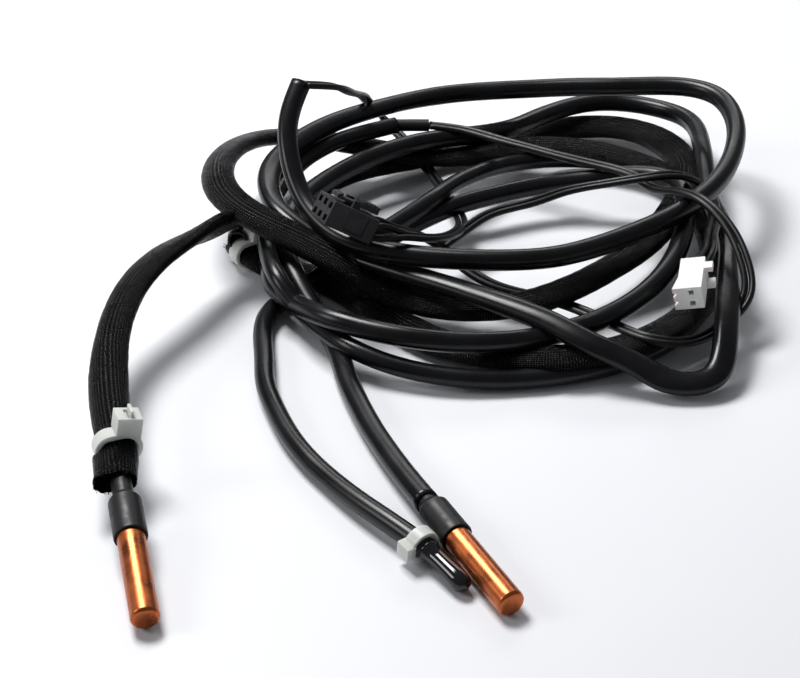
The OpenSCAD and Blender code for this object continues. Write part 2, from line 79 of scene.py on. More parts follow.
PLUG_WIRES = [(7.4, 92.1, 18.6), (12, 94, 17.2), (17.5, 95.5, 14.5), (23, 97, 11)]
HEADER_WIRES = [(75.7, 78.3, 15.9), (78.6, 83, 15.6), (81, 93, 14.6), (83.5, 103, 13.2),
                (84.5, 110, 12.4), (85, 116.5, 12.4), (84, 121.5, 12.6), (80.5, 122, 14.6),
                (76, 117.5, 17.4), (69, 118.5, 16.4), (60, 119.5, 14.2), (51, 119, 12.4),
                (42, 115, 11.2)]

# Where strands cross the bundle's middle instead of going round it.
CROSS_B = [(48, 167, 8.5), (62, 179, 7.5), (75, 180, 7), (86, 171, 7.5), (88, 154, 8.5),
           (86, 124, 8.4), (86.5, 106, 8.4), (85, 92.9, 9), (82.6, 77.6, 8.6), (80.6, 66.1, 7),
           (79, 59.7, 4.8), (76.4, 55.6, 3.2), (73, 54, 2.8), (69.5, 54.4, 3),
           (65.5, 56, 4), (61, 57.6, 5.8), (54, 60.4, 7.8), (45, 67, 9.5)]
INNER_A = [(62, 133, 9), (50, 132, 8), (38, 127, 8), (26, 120, 8), (17, 113, 7), (11, 108, 6),
           (7, 105, 5)]
HIDDEN_B = [(85, 77, 6.5), (81, 74, 4.5), (76, 71, 3.5), (70, 66, 5), (64, 69, 5),
            (56, 76, 5), (48, 83, 5), (38, 86, 6), (29, 92, 8)]
HIDDEN_HEADER = [(37, 114, 10.5), (31, 109, 9.5), (24, 101, 8.5), (19, 98, 6), (14, 100, 4),
                 (9, 104, 4)]

COIL_MIDDLE = (39, 120)


def turns(start, step, stations):
    """Points round the bundle's middle, one (radius, height) every step degrees."""
    points = []
    for i, (radius, height) in enumerate(stations):
        angle = math.radians(start + i * step)
        points.append((COIL_MIDDLE[0] + radius * math.cos(angle),
                       COIL_MIDDLE[1] + radius * math.sin(angle), height))
    return points


def route_a_sleeve():
    """Sleeve: from the probe, twice round the bundle and to the second tie."""
    return (LEAD_A + [(-13.5, 120, 6)]
            + turns(150, -30, [(44, 4.8), (40, 3.7), (46, 3.5), (62, 3.5), (51, 7.3), (39, 9),
                               (35, 8.9), (36, 8.1), (41, 6.4), (44, 6.5), (49, 11)])
            + [(-24, 113, 15.5), (-16, 148, 12.5)]
            + turns(-240, -30, [(33, 7.2), (33, 6.6), (40, 5.9), (46, 4.3), (46, 3.5),
                                (50, 3.4), (55, 2.8), (56, 2.8), (49, 2.8)])
            + [(0, 94.5, 3), (-11, 99.8, 3.5), (-18.5, 107.5, 3.7), (-21, 111.2, 3.8)])


def route_a_tube():
    """Tubing that leaves the sleeve's far end and goes once round, then inwards."""
    return ([(-21, 111.2, 3.9), (-22, 115.5, 4.2), (-18, 119.5, 4.4), (-13, 117, 4.4),
             (-12, 105, 5.5)]
            + turns(210, 30, [(59, 4.8), (60, 7), (56, 7), (49, 8.4), (42, 10), (40, 10)])
            + [(78, 128, 10), (73, 132, 10)] + INNER_A)


def route_b():
    """Tubing of the plain probe, from its collar to the open end that stands up."""
    return (LEAD_B
            + turns(210, -30, [(54, 6.3), (48, 7.5), (39, 9.8), (34, 11), (38, 9.5)])
            + CROSS_B
            + turns(240, -30, [(40, 9.5), (44, 9.5)])
            + LOOP_B[::-1])


def route_c():
    """Tubing of the air probe, from the dipped tip to the splice."""
    return (LEAD_C
            + turns(180, -30, [(19, 8), (16, 8.1), (17, 8.1), (23, 7.5), (38, 4.8), (50, 3),
                               (47, 3), (51, 3), (59, 2.5), (63, 2.2), (63, 3), (58, 6.8),
                               (53, 9.4)])
            + TAIL_C)


# ---- Strand shapes --------------------------------------------------------------------------

SHAPE_GAP = 1.3     # mm between the rings of a strand
SETTLE_GAP = 3.0    # mm between the points that settle on each other
VIEW_SLOPE = 1.6    # mm nearer for each mm higher, which keeps a strand's place in the view
SAME_STRAND = 25    # mm along one strand within which it can't touch itself
SETTLE_TURNS = 160
PUSH_SHARE = 0.35   # part of a missing gap that one turn makes up
SMOOTHING = [0.1, 0.2, 0.4, 0.2, 0.1]
KNOT_EVERY = 3      # settled points for each knot of the final curve
FLOOR_GAP = {"tube_b": 0.25, "tube_c": 0.25}    # mm; the other strands keep OTHER_FLOOR_GAP
OTHER_FLOOR_GAP = 0.1
SHAPES = {}


def spline(points, gap):
    """Points every gap mm on a smooth curve through the given points."""
    knots = np.array(points, float)
    steps = np.sqrt(np.linalg.norm(np.diff(knots, axis=0), axis=1))
    t = np.concatenate([[0], np.cumsum(steps)])
    n = len(t)
    h = np.diff(t)
    a = np.eye(n)
    b = np.zeros((n, 3))
    for i in range(1, n - 1):
        a[i, i - 1], a[i, i], a[i, i + 1] = h[i - 1], 2 * (h[i - 1] + h[i]), h[i]
        b[i] = 6 * ((knots[i + 1] - knots[i]) / h[i] - (knots[i] - knots[i - 1]) / h[i - 1])
    m = np.linalg.solve(a, b)
    fine = np.linspace(0, t[-1], n * 40)
    k = np.clip(np.searchsorted(t, fine, side="right") - 1, 0, n - 2)
    left = (t[k + 1] - fine)[:, None]
    right = (fine - t[k])[:, None]
    hk = h[k][:, None]
    curve = (m[k] * left ** 3 / (6 * hk) + m[k + 1] * right ** 3 / (6 * hk)
             + (knots[k] / hk - m[k] * hk / 6) * left
             + (knots[k + 1] / hk - m[k + 1] * hk / 6) * right)
    return even(curve, gap)


def run_of(curve):
    """Distance along a curve at each of its points."""
    return np.concatenate([[0], np.cumsum(np.linalg.norm(np.diff(curve, axis=0), axis=1))])


def even(curve, gap):
    """The same curve with points an even gap apart."""
    run = run_of(curve)
    count = max(2, int(round(run[-1] / gap)) + 1)
    at = np.linspace(0, run[-1], count)
    return np.stack([np.interp(at, run, curve[:, i]) for i in range(3)], axis=1)


def eased(run, start, end, ease=10.0):
    """1 between start and end along a strand and 0 elsewhere, with soft ends."""
    return np.clip((run - start) / ease, 0, 1) * np.clip((end - run) / ease, 0, 1)


def settled(strands):
    """Lifts strands that would cut through each other, along the line of sight, and lets none
    of them sink into the floor. Each strand is (name, points, half width, half height, held),
    where held lists the stretches that stay; a number below 0 counts back from the end."""
    rows, owner, run, half_w, half_h, free = [], [], [], [], [], []
    for number, (_, points, wide, high, held) in enumerate(strands):
        curve = spline(points, SETTLE_GAP)
        count = len(curve)
        rows.append(curve)
        owner += [number] * count
        run += list(np.arange(count) * SETTLE_GAP)
        half_w += [wide] * count
        half_h += [high] * count
        mask = np.ones(count)
        for start, end in held:
            first = int(start / SETTLE_GAP) if start >= 0 else count + int(start / SETTLE_GAP)
            last = int(end / SETTLE_GAP) if end > 0 else count + int(end / SETTLE_GAP)
            mask[max(0, first):max(0, last)] = 0
        free += list(np.convolve(np.pad(mask, 3, mode="edge"), np.ones(7) / 7, "valid"))
    start = np.concatenate(rows)
    owner, run = np.array(owner), np.array(run)
    half_w, half_h, free = np.array(half_w), np.array(half_h), np.array(free)
    lift = np.zeros(len(start))
    same = owner[:, None] == owner[None, :]
    near_run = np.abs(run[:, None] - run[None, :]) < SAME_STRAND
    apart = ~(same & near_run)
    reach = half_w[:, None] + half_w[None, :]
    stack = half_h[:, None] + half_h[None, :]
    rank = start[:, 2] + owner * 0.01
    above = np.sign(rank[:, None] - rank[None, :])
    for _ in range(SETTLE_TURNS):
        place = start.copy()
        place[:, 2] += lift
        place[:, 1] -= lift * VIEW_SLOPE
        flat = np.hypot(place[:, None, 0] - place[None, :, 0],
                        place[:, None, 1] - place[None, :, 1])
        need = stack * np.sqrt(np.clip(1 - (flat / reach) ** 2, 0, 1))
        gap = (place[:, None, 2] - place[None, :, 2]) * above
        short = np.where(apart & (need > 0), need - gap, 0)
        short = np.clip(short, 0, None) * above
        push = np.where(np.abs(short.max(axis=1)) > np.abs(short.min(axis=1)),
                        short.max(axis=1), short.min(axis=1))
        lift += PUSH_SHARE * push * free
        for number in range(len(strands)):
            own = owner == number
            own_lift = lift[own]
            soft = np.convolve(np.pad(own_lift, 2, mode="edge"), SMOOTHING, "valid")
            lift[own] = own_lift + (soft - own_lift) * free[own]
        lift = np.maximum(lift, half_h + 0.05 - start[:, 2]) * (free > 0.01)
    result = {}
    for number, (name, _, _, high, _) in enumerate(strands):
        own = owner == number
        curve = start[own].copy()
        curve[:, 2] += lift[own]
        curve[:, 1] -= lift[own] * VIEW_SLOPE
        knots = curve[::KNOT_EVERY]
        if (len(curve) - 1) % KNOT_EVERY:
            knots = np.vstack([knots, curve[-1:]])
        shape = spline(knots, SHAPE_GAP)
        lowest = high + FLOOR_GAP.get(name, OTHER_FLOOR_GAP)
        shape[:, 2] = np.maximum(shape[:, 2], lowest)
        result[name] = shape
    return result


def lay_strands():
    """Works out the centreline of every strand, once."""
    if SHAPES:
        return SHAPES
    strands = [
        ("woven_sleeve", route_a_sleeve(), 3.3, 1.75, [(0, 75), (-18, 0)]),
        ("tube_a", route_a_tube(), 2.2, 2.2, [(0, 7)]),
        ("tube_b", route_b(), 2.2, 2.1, [(0, 50), (-430, 0)]),
        ("tube_c", route_c(), 2.0, 2.0, [(0, 60), (-12, 0)]),
        ("wires_a", TAIL_A, 1.4, 0.7, [(0, 60), (-34, 0)]),
        ("wires_b", TAIL_B + HIDDEN_B + PLUG_WIRES[::-1], 1.4, 0.7, [(0, 60), (-30, 0)]),
        ("wires_header", HEADER_WIRES + HIDDEN_HEADER, 1.4, 0.7, [(0, 75)]),
    ]
    SHAPES.update(settled(strands))
    return SHAPES


# ---- Building -------------------------------------------------------------------------------

def sizes():
    """The user's sizes."""
    return bpy.context.scene.sensor_sizes


def colours():
    """The user's colours."""
    return bpy.context.scene.sensor_colours


def mesh_object(name, verts, faces, uvs=None, smooth=True):
    """New mesh object; verts in metres, uvs one per vertex in millimetres."""
    mesh = bpy.data.meshes.new(name)
    mesh.from_pydata([tuple(v) for v in verts], [], faces)
    mesh.validate()
    if uvs is not None:
        layer = mesh.uv_layers.new(name="length")
        for loop in mesh.loops:
            layer.data[loop.index].uv = uvs[loop.vertex_index]
    mesh.polygons.foreach_set("use_smooth", [smooth] * len(mesh.polygons))
    mesh.update()
    obj = bpy.data.objects.new(name, mesh)
    bpy.context.scene.collection.objects.link(obj)
    return obj


def frames(curve):
    """Direction, level side and upright of a curve at each of its points."""
    ahead = np.gradient(curve, axis=0)
    ahead /= np.linalg.norm(ahead, axis=1)[:, None]
    side = np.cross(ahead, [0, 0, 1])
    for i in range(1, len(side)):
        if np.linalg.norm(side[i]) < 0.25:
            side[i] = side[i - 1]
    side -= ahead * (side * ahead).sum(axis=1)[:, None]
    side /= np.linalg.norm(side, axis=1)[:, None]
    return ahead, side, np.cross(side, ahead)


def as_rows(value, count):
    """The value for each of count rings."""
    return np.full(count, float(value)) if np.isscalar(value) else np.asarray(value, float)


FRAY = 0.35         # mm that a cut end's threads differ in length
END_INSET = 0.12    # mm that a flat end is smaller than its tube


def tube_mesh(curve, wide, high, roll=0.0, power=2.0, around=28, wall=0.6, deep=4.0, shift=0.0,
              ends=("open", "open"), rough=None):
    """Verts in metres, faces, and uvs in mm, of a tube of oval section along a curve in mm.

    power is the roundness of the section, wall and deep the wall and depth of an open end,
    shift moves the section sideways and rough is a relative relief for each vertex."""
    count = len(curve)
    ahead, side, up = frames(curve)
    wide, high, roll = as_rows(wide, count), as_rows(high, count), as_rows(roll, count)
    shift = as_rows(shift, count)
    across = side * np.cos(roll)[:, None] + up * np.sin(roll)[:, None]
    tall = up * np.cos(roll)[:, None] - side * np.sin(roll)[:, None]
    angle = np.arange(around) * 2 * math.pi / around
    cos, sin = np.cos(angle), np.sin(angle)
    x = np.sign(cos) * np.abs(cos) ** (2 / power)
    y = np.sign(sin) * np.abs(sin) ** (2 / power)
    run = run_of(curve)
    verts, uvs, faces = [], [], []

    def ring(i, inset, back=0.0, jitter=None):
        first = len(verts)
        for k in range(around):
            rise = 1.0 if rough is None else 1 + rough[i, k]
            a = x[k] * (wide[i] / 2 - inset) * rise + shift[i]
            b = y[k] * (high[i] / 2 - inset) * rise
            out = 0.0 if jitter is None else jitter[k]
            verts.append(curve[i] + across[i] * a + tall[i] * b + ahead[i] * (back + out))
            uvs.append((run[i] + back, k * math.pi * (wide[i] + high[i]) / 2 / around))
        return first

    def join(a, b):
        for k in range(around):
            j = (k + 1) % around
            faces.append((a + k, a + j, b + j, b + k))

    draw = np.random.default_rng(7)
    rings = []
    start, end = ends
    if start == "open":
        inner = ring(0, wall, deep)
        faces.append(tuple(inner + k for k in range(around))[::-1])
        lip = ring(0, wall)
        join(inner, lip)
        rings.append(lip)
    elif start == "flat":
        inner = ring(0, END_INSET)
        faces.append(tuple(inner + k for k in range(around))[::-1])
        rings.append(inner)
    for i in range(count):
        frayed = (start == "frayed" and i == 0) or (end == "frayed" and i == count - 1)
        jitter = draw.uniform(-FRAY, FRAY, around) if frayed else None
        rings.append(ring(i, 0.0, 0.0, jitter))
    if end in ("open", "frayed"):
        jitter = draw.uniform(-FRAY, FRAY, around) if end == "frayed" else None
        rings.append(ring(count - 1, wall, 0.0, jitter))
        inner = ring(count - 1, wall, -deep)
        rings.append(inner)
        faces.append(tuple(inner + k for k in range(around)))
    elif end == "flat":
        inner = ring(count - 1, END_INSET)
        rings.append(inner)
        faces.append(tuple(inner + k for k in range(around)))
    if start == "frayed":
        lip = ring(0, wall, 0.0, draw.uniform(-FRAY, FRAY, around))
        inner = ring(0, wall, deep)
        faces.append(tuple(inner + k for k in range(around))[::-1])
        join(inner, lip)
        rings.insert(0, lip)
    for a, b in zip(rings[:-1], rings[1:]):
        join(a, b)
    return np.array(verts) * MM, faces, uvs


def merged(parts):
    """One mesh out of several (verts, faces, uvs)."""
    verts, faces, uvs = [], [], []
    for v, f, u in parts:
        base = len(verts)
        verts += [tuple(p) for p in v]
        faces += [tuple(base + k for k in face) for face in f]
        uvs += list(u)
    return verts, faces, uvs


def finish_piece(obj, body, material, nodes=()):
    """Gives a new piece its material and body, and hides the part's nodes it replaces."""
    obj.data.materials.clear()
    obj.data.materials.append(material)
    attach(obj, body)
    if nodes:
        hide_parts(*nodes)


def node(name):
    """The part's object of that name."""
    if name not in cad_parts:
        raise RuntimeError("the part has no node " + name)
    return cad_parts[name]


WELD_GAP = 0.000002     # metres
BEVEL_FROM = math.radians(32)


def dress_node(name, material, bevel=0.0, segments=2):
    """Gives a CAD node its material and rounds its edges."""
    obj = node(name)
    obj.data.materials.clear()
    obj.data.materials.append(material)
    if bevel > 0:
        weld = obj.modifiers.new("weld", "WELD")
        weld.merge_threshold = WELD_GAP
        edge = obj.modifiers.new("edges", "BEVEL")
        edge.width = bevel * MM
        edge.segments = segments
        edge.limit_method = "ANGLE"
        edge.angle_limit = BEVEL_FROM
        edge.harden_normals = False
        normal = obj.modifiers.new("flat faces", "WEIGHTED_NORMAL")
        normal.keep_sharp = True
    obj.data.polygons.foreach_set("use_smooth", [True] * len(obj.data.polygons))


# ---- Materials ------------------------------------------------------------------------------

class Wiring:
    """Short hand for joining shader nodes."""

    def __init__(self, name):
        self.material = bpy.data.materials.get(name) or bpy.data.materials.new(name)
        self.material.use_nodes = True
        self.tree = self.material.node_tree
        self.tree.nodes.clear()
        out = self.add("ShaderNodeOutputMaterial")
        self.shader = self.add("ShaderNodeBsdfPrincipled")
        self.link(self.shader.outputs[0], out.inputs["Surface"])

    def add(self, kind, **values):
        made = self.tree.nodes.new(kind)
        for key, value in values.items():
            setattr(made, key, value)
        return made

    def link(self, start, end):
        self.tree.links.new(start, end)

    def number(self, operation, a, b=None, clamp=False):
        made = self.add("ShaderNodeMath", operation=operation, use_clamp=clamp)
        for socket, value in zip(made.inputs, (a, b)):
            if value is None:
                continue
            if isinstance(value, (int, float)):
                socket.default_value = value
            else:
                self.link(value, socket)
        return made.outputs[0]

    def place(self, kind="Object"):
        return self.add("ShaderNodeTexCoord").outputs[kind]

    def noise(self, scale, detail=4.0, where=None, rough=0.5):
        made = self.add("ShaderNodeTexNoise")
        made.inputs["Scale"].default_value = scale
        made.inputs["Detail"].default_value = detail
        made.inputs["Roughness"].default_value = rough
        self.link(where or self.place(), made.inputs["Vector"])
        return made.outputs["Fac"]

    def stretch(self, vector, factors):
        made = self.add("ShaderNodeMapping")
        made.inputs["Scale"].default_value = factors
        self.link(vector, made.inputs["Vector"])
        return made.outputs["Vector"]

    def ramp(self, value, stops):
        made = self.add("ShaderNodeValToRGB")
        band = made.color_ramp
        while len(band.elements) < len(stops):
            band.elements.new(0.5)
        for element, (at, colour) in zip(band.elements, stops):
            element.position = at
            element.color = (*colour[:3], 1)
        self.link(value, made.inputs["Fac"])
        return made.outputs["Color"]

    def spread(self, value, low, high, start=0.3, end=0.7):
        made = self.add("ShaderNodeMapRange")
        made.inputs["From Min"].default_value = start
        made.inputs["From Max"].default_value = end
        made.inputs["To Min"].default_value = low
        made.inputs["To Max"].default_value = high
        self.link(value, made.inputs["Value"])
        return made.outputs["Result"]

    def bump(self, height, strength, distance, under=None):
        made = self.add("ShaderNodeBump")
        made.inputs["Strength"].default_value = strength
        made.inputs["Distance"].default_value = distance * MM
        self.link(height, made.inputs["Height"])
        if under is not None:
            self.link(under, made.inputs["Normal"])
        return made.outputs["Normal"]

    def set(self, **values):
        for key, value in values.items():
            self.shader.inputs[key.replace("_", " ")].default_value = value


def tint(colour, factor):
    """A lighter or darker colour."""
    return tuple(min(1.0, c * factor) for c in colour[:3])


def plain_material(name, colour, low, high, grain=900.0, bump=0.25, deep=0.04, vary=0.25,
                   **values):
    """Moulded or drawn surface with soft changes of shade, gloss and relief."""
    w = Wiring(name)
    soft = w.noise(grain * 0.25, 3.0)
    fine = w.noise(grain, 6.0)
    w.link(w.ramp(soft, [(0.3, tint(colour, 1 - vary)), (0.7, tint(colour, 1 + vary))]),
           w.shader.inputs["Base Color"])
    w.link(w.spread(fine, low, high), w.shader.inputs["Roughness"])
    w.link(w.bump(fine, bump, deep), w.shader.inputs["Normal"])
    w.set(**values)
    return w.material


def copper_material():
    """Drawn copper: fine lines along the shell and tarnish spots."""
    w = Wiring("drawn copper")
    base = tuple(colours().copper)
    where = w.place()
    patches = w.noise(260, 5.0, where)
    spots = w.noise(700, 3.0, where)
    lines = w.noise(2600, 2.0, w.stretch(where, (1.0, 0.12, 1.0)))
    shade = w.ramp(patches, [(0.32, tint(base, 0.72)), (0.5, base), (0.72, tint(base, 1.15))])
    dark = w.ramp(spots, [(0.60, (1, 1, 1)), (0.72, (0.55, 0.42, 0.36))])
    mix = w.add("ShaderNodeMixRGB", blend_type="MULTIPLY")
    mix.inputs["Fac"].default_value = 0.7
    w.link(shade, mix.inputs["Color1"])
    w.link(dark, mix.inputs["Color2"])
    w.link(mix.outputs[0], w.shader.inputs["Base Color"])
    w.link(w.spread(patches, 0.24, 0.40), w.shader.inputs["Roughness"])
    height = w.number("ADD", w.number("MULTIPLY", lines, 0.5), spots)
    w.link(w.bump(height, 0.35, 0.05), w.shader.inputs["Normal"])
    w.set(Metallic=0.92)
    return w.material


def woven_material():
    """Black glass-fibre braid: two families of threads over each other, with pale specks on the
    thread crests as painted glints.
    """
    w = Wiring("woven braid")
    base = tuple(colours().sleeve)
    split = w.add("ShaderNodeSeparateXYZ")
    w.link(w.place("UV"), split.inputs[0])
    u, v = split.outputs[0], split.outputs[1]
    pitch = math.pi / (sizes().weave / MM)
    plus = w.number("MULTIPLY", w.number("ADD", u, v), pitch)
    less = w.number("MULTIPLY", w.number("SUBTRACT", u, v), pitch)
    weave = w.number("MULTIPLY", w.number("SINE", plus), w.number("SINE", less))
    threads = w.number("MULTIPLY", w.number("SINE", w.number("MULTIPLY", plus, 4.0)),
                       w.number("SINE", w.number("MULTIPLY", less, 0.5)))
    height = w.number("ADD", weave, w.number("MULTIPLY", threads, 0.35))
    where = w.place()
    # Noise patches that set the roughness and gate where the painted glints fall.
    roughness_and_glint_patches = w.noise(130, 4.0, where)
    glint_specks = w.noise(3800, 2.0, where)
    # Painted glints: pale grey specks along the thread crests, painted into the base colour as
    # highlights of the light on the braid.
    painted_glints = w.number("MULTIPLY", w.spread(glint_specks, 0.0, 1.0, 0.62, 0.70),
                      w.spread(roughness_and_glint_patches, 0.0, 1.0, 0.56, 0.66), clamp=True)
    painted_glints = w.number("MULTIPLY", painted_glints, w.spread(weave, 0.0, 1.0, 0.1, 0.6), clamp=True)
    mix = w.add("ShaderNodeMixRGB")
    w.link(painted_glints, mix.inputs["Fac"])
    mix.inputs["Color1"].default_value = (*base, 1)
    mix.inputs["Color2"].default_value = (0.34, 0.36, 0.38, 1)
    w.link(mix.outputs[0], w.shader.inputs["Base Color"])
    w.link(w.spread(roughness_and_glint_patches, 0.16, 0.36), w.shader.inputs["Roughness"])
    w.link(w.bump(height, 0.85, 0.12), w.shader.inputs["Normal"])
    w.link(w.spread(weave, 0.03, 0.85, 0.45, 0.95), w.shader.inputs["Specular IOR Level"])
    return w.material


def tubing_material():
    """Extruded PVC: half gloss, faint drag lines and handling marks."""
    w = Wiring("tubing")
    base = tuple(colours().tubing)
    marks = w.noise(90, 5.0)
    fine = w.noise(1800, 3.0)
    lines = w.noise(2.2, 3.0, w.stretch(w.place("UV"), (0.03, 1.0, 1.0)))
    w.link(w.ramp(marks, [(0.35, tint(base, 0.8)), (0.7, tint(base, 1.5))]),
           w.shader.inputs["Base Color"])
    w.link(w.spread(marks, 0.22, 0.34), w.shader.inputs["Roughness"])
    under = w.bump(lines, 0.25, 0.05)
    w.link(w.bump(fine, 0.12, 0.02, under), w.shader.inputs["Normal"])
    w.set(Specular_IOR_Level=0.28)
    return w.material


def material(name):
    """The named material, made on first use."""
    made = bpy.data.materials.get(name)
    if made is not None:
        return made
    c = colours()
    if name == "drawn copper":
        return copper_material()
    if name == "woven braid":
        return woven_material()
    if name == "tubing":
        return tubing_material()
    if name == "shrink":
        return plain_material(name, c.shrink, 0.36, 0.55, 700, 0.35, 0.06,
                              Specular_IOR_Level=0.28)
    if name == "wire skin":
        return plain_material(name, c.wire, 0.30, 0.44, 1500, 0.15, 0.03,
                              Specular_IOR_Level=0.28)
    if name == "epoxy":
        return plain_material(name, c.epoxy, 0.05, 0.10, 260, 0.10, 0.06,
                              Specular_IOR_Level=0.5)
    if name == "nylon":
        return plain_material(name, c.nylon, 0.34, 0.48, 800, 0.15, 0.03, 0.06,
                              Subsurface_Weight=0.5, Subsurface_Radius=(0.002, 0.002, 0.002),
                              Subsurface_Scale=1.0, Transmission_Weight=0.12)
    if name == "white plastic":
        return plain_material(name, c.white_plug, 0.34, 0.5, 900, 0.12, 0.03, 0.05,
                              Subsurface_Weight=0.25, Subsurface_Scale=0.001)
    if name == "black plastic":
        return plain_material(name, c.black_plug, 0.42, 0.58, 1300, 0.3, 0.04,
                              Specular_IOR_Level=0.4)
    if name == "tin":
        return plain_material(name, c.tin, 0.22, 0.4, 1500, 0.2, 0.03, 0.1, Metallic=1.0)
    if name == "glass bead":
        return plain_material(name, c.bead, 0.1, 0.2, 900, 0.1, 0.02, 0.2, Coat_Weight=0.5)
    if name == "resin":
        return plain_material(name, c.resin, 0.3, 0.5, 700, 0.3, 0.05)
    raise RuntimeError("no material called " + name)


# ---- User's sizes and colours ----------------------------------------------------------------

def colour_choice(name, description, default):
    return bpy.props.FloatVectorProperty(name=name, description=description, default=default,
                                         size=3, min=0, max=1, subtype="COLOR")


def size_choice(name, description, default, low, high):
    return bpy.props.FloatProperty(name=name, description=description, default=default,
                                   min=low, max=high, precision=5, subtype="DISTANCE",
                                   unit="LENGTH")


class SensorSizes(bpy.types.PropertyGroup):
    """Sizes of the strands and of the small rounded edges."""
    sleeve_wide: size_choice("Sleeve width", "Width of the woven sleeve lying flat",
                             0.0074, 0.005, 0.009)
    sleeve_thick: size_choice("Sleeve thickness", "Thickness of the woven sleeve lying flat",
                              0.0036, 0.002, 0.005)
    weave: size_choice("Weave pitch", "Distance between threads of the woven sleeve",
                       0.00050, 0.0003, 0.002)
    tube: size_choice("Tubing", "Outside diameter of the pipe probes' tubing",
                      0.0044, 0.003, 0.006)
    tube_air: size_choice("Thin tubing", "Outside diameter of the air probe's tubing",
                          0.004, 0.003, 0.006)
    wire: size_choice("Wire", "Outside diameter of one insulated wire",
                      0.0014, 0.0008, 0.0016)
    flat_wide: size_choice("Pressed tubing width", "Width of the tubing where it is pressed flat",
                           0.0052, 0.0044, 0.0066)
    flat_thick: size_choice("Pressed tubing thickness",
                            "Thickness of the tubing where it is pressed flat",
                            0.0036, 0.0024, 0.0044)
    plug_edge: size_choice("Plug edges", "Radius of the rounded edges of both plugs",
                           0.00016, 0.00002, 0.0003)
    tie_edge: size_choice("Tie edges", "Radius of the rounded edges of the cable ties",
                          0.00025, 0.00002, 0.0004)


class SensorColours(bpy.types.PropertyGroup):
    """Base colours of the set."""
    copper: colour_choice("Copper", "Drawn copper shells", (0.47, 0.125, 0.040))
    sleeve: colour_choice("Sleeve", "Woven sleeve", (0.0018, 0.0018, 0.0020))
    tubing: colour_choice("Tubing", "PVC tubing", (0.0042, 0.0044, 0.0052))
    shrink: colour_choice("Shrink collar", "Heat-shrink collars", (0.0085, 0.0085, 0.0098))
    wire: colour_choice("Wire", "Insulation of the thin wires", (0.0045, 0.0045, 0.0052))
    epoxy: colour_choice("Epoxy", "Dipped tip of the air probe", (0.006, 0.006, 0.007))
    nylon: colour_choice("Nylon", "Cable ties", (0.62, 0.64, 0.60))
    white_plug: colour_choice("White plug", "Housing of the two-way plug", (0.78, 0.78, 0.75))
    black_plug: colour_choice("Black plug", "Housing of the six-way plug",
                              (0.0125, 0.0125, 0.0142))
    tin: colour_choice("Contacts", "Tinned contacts and conductors", (0.72, 0.72, 0.70))
    bead: colour_choice("Bead", "Glass thermistor beads", (0.25, 0.07, 0.04))
    resin: colour_choice("Resin", "Potting resin in the shells", (0.03, 0.03, 0.035))
    floor: colour_choice("Floor", "Table under the set", (0.80, 0.81, 0.84))


# ---- Operators ------------------------------------------------------------------------------

def turn_of(degrees):
    """3 x 3 rotation for turns about X, then Y, then Z."""
    return np.array(Euler([math.radians(a) for a in degrees], "XYZ").to_matrix())


CAMERA_TARGET = Vector((0.015, 0.076, 0.0))
CAMERA_RISE = math.radians(31.5)
CAMERA_FAR = 0.365


class SENSORS_OT_camera(bpy.types.Operator):
    """Places the camera in front of the set"""
    bl_idname = "sensors.camera"
    bl_label = "Camera"

    def execute(self, context):
        data = bpy.data.cameras.new("camera")
        data.sensor_width = 36
        data.lens = 78.75
        data.clip_start = 0.01
        data.clip_end = 20
        camera = bpy.data.objects.new("camera", data)
        back = Vector((0, -math.cos(CAMERA_RISE), math.sin(CAMERA_RISE)))
        camera.location = CAMERA_TARGET + back * CAMERA_FAR
        aim = CAMERA_TARGET - camera.location
        camera.rotation_euler = aim.to_track_quat("-Z", "Y").to_euler()
        context.scene.collection.objects.link(camera)
        context.scene.camera = camera
        return {"FINISHED"}


# The woven sleeve, in mm along it and across it.
SLEEVE_OPEN_RUN = 7.0       # the cut end flares over this stretch
SLEEVE_SHIFT = 1.1          # sideways shift of the flared end
TIE_AT = 9.3                # middle of the first tie
TIE_PINCH = 2.6
TIE_WIDE = 6.55             # the sleeve's width in the tie
TWIST_AT = 88               # where the sleeve turns over on its way to the bundle
TWIST_RUN = 11
TWIST = math.radians(38)
SLEEVE_POWER = 2.5
SLEEVE_AROUND = 36
SLEEVE_WALL = 0.32
SLEEVE_DEEP = 6.0
LOOSE_THREADS = 46
THREAD_WIDE = 0.11
THREAD_INSET = 0.15


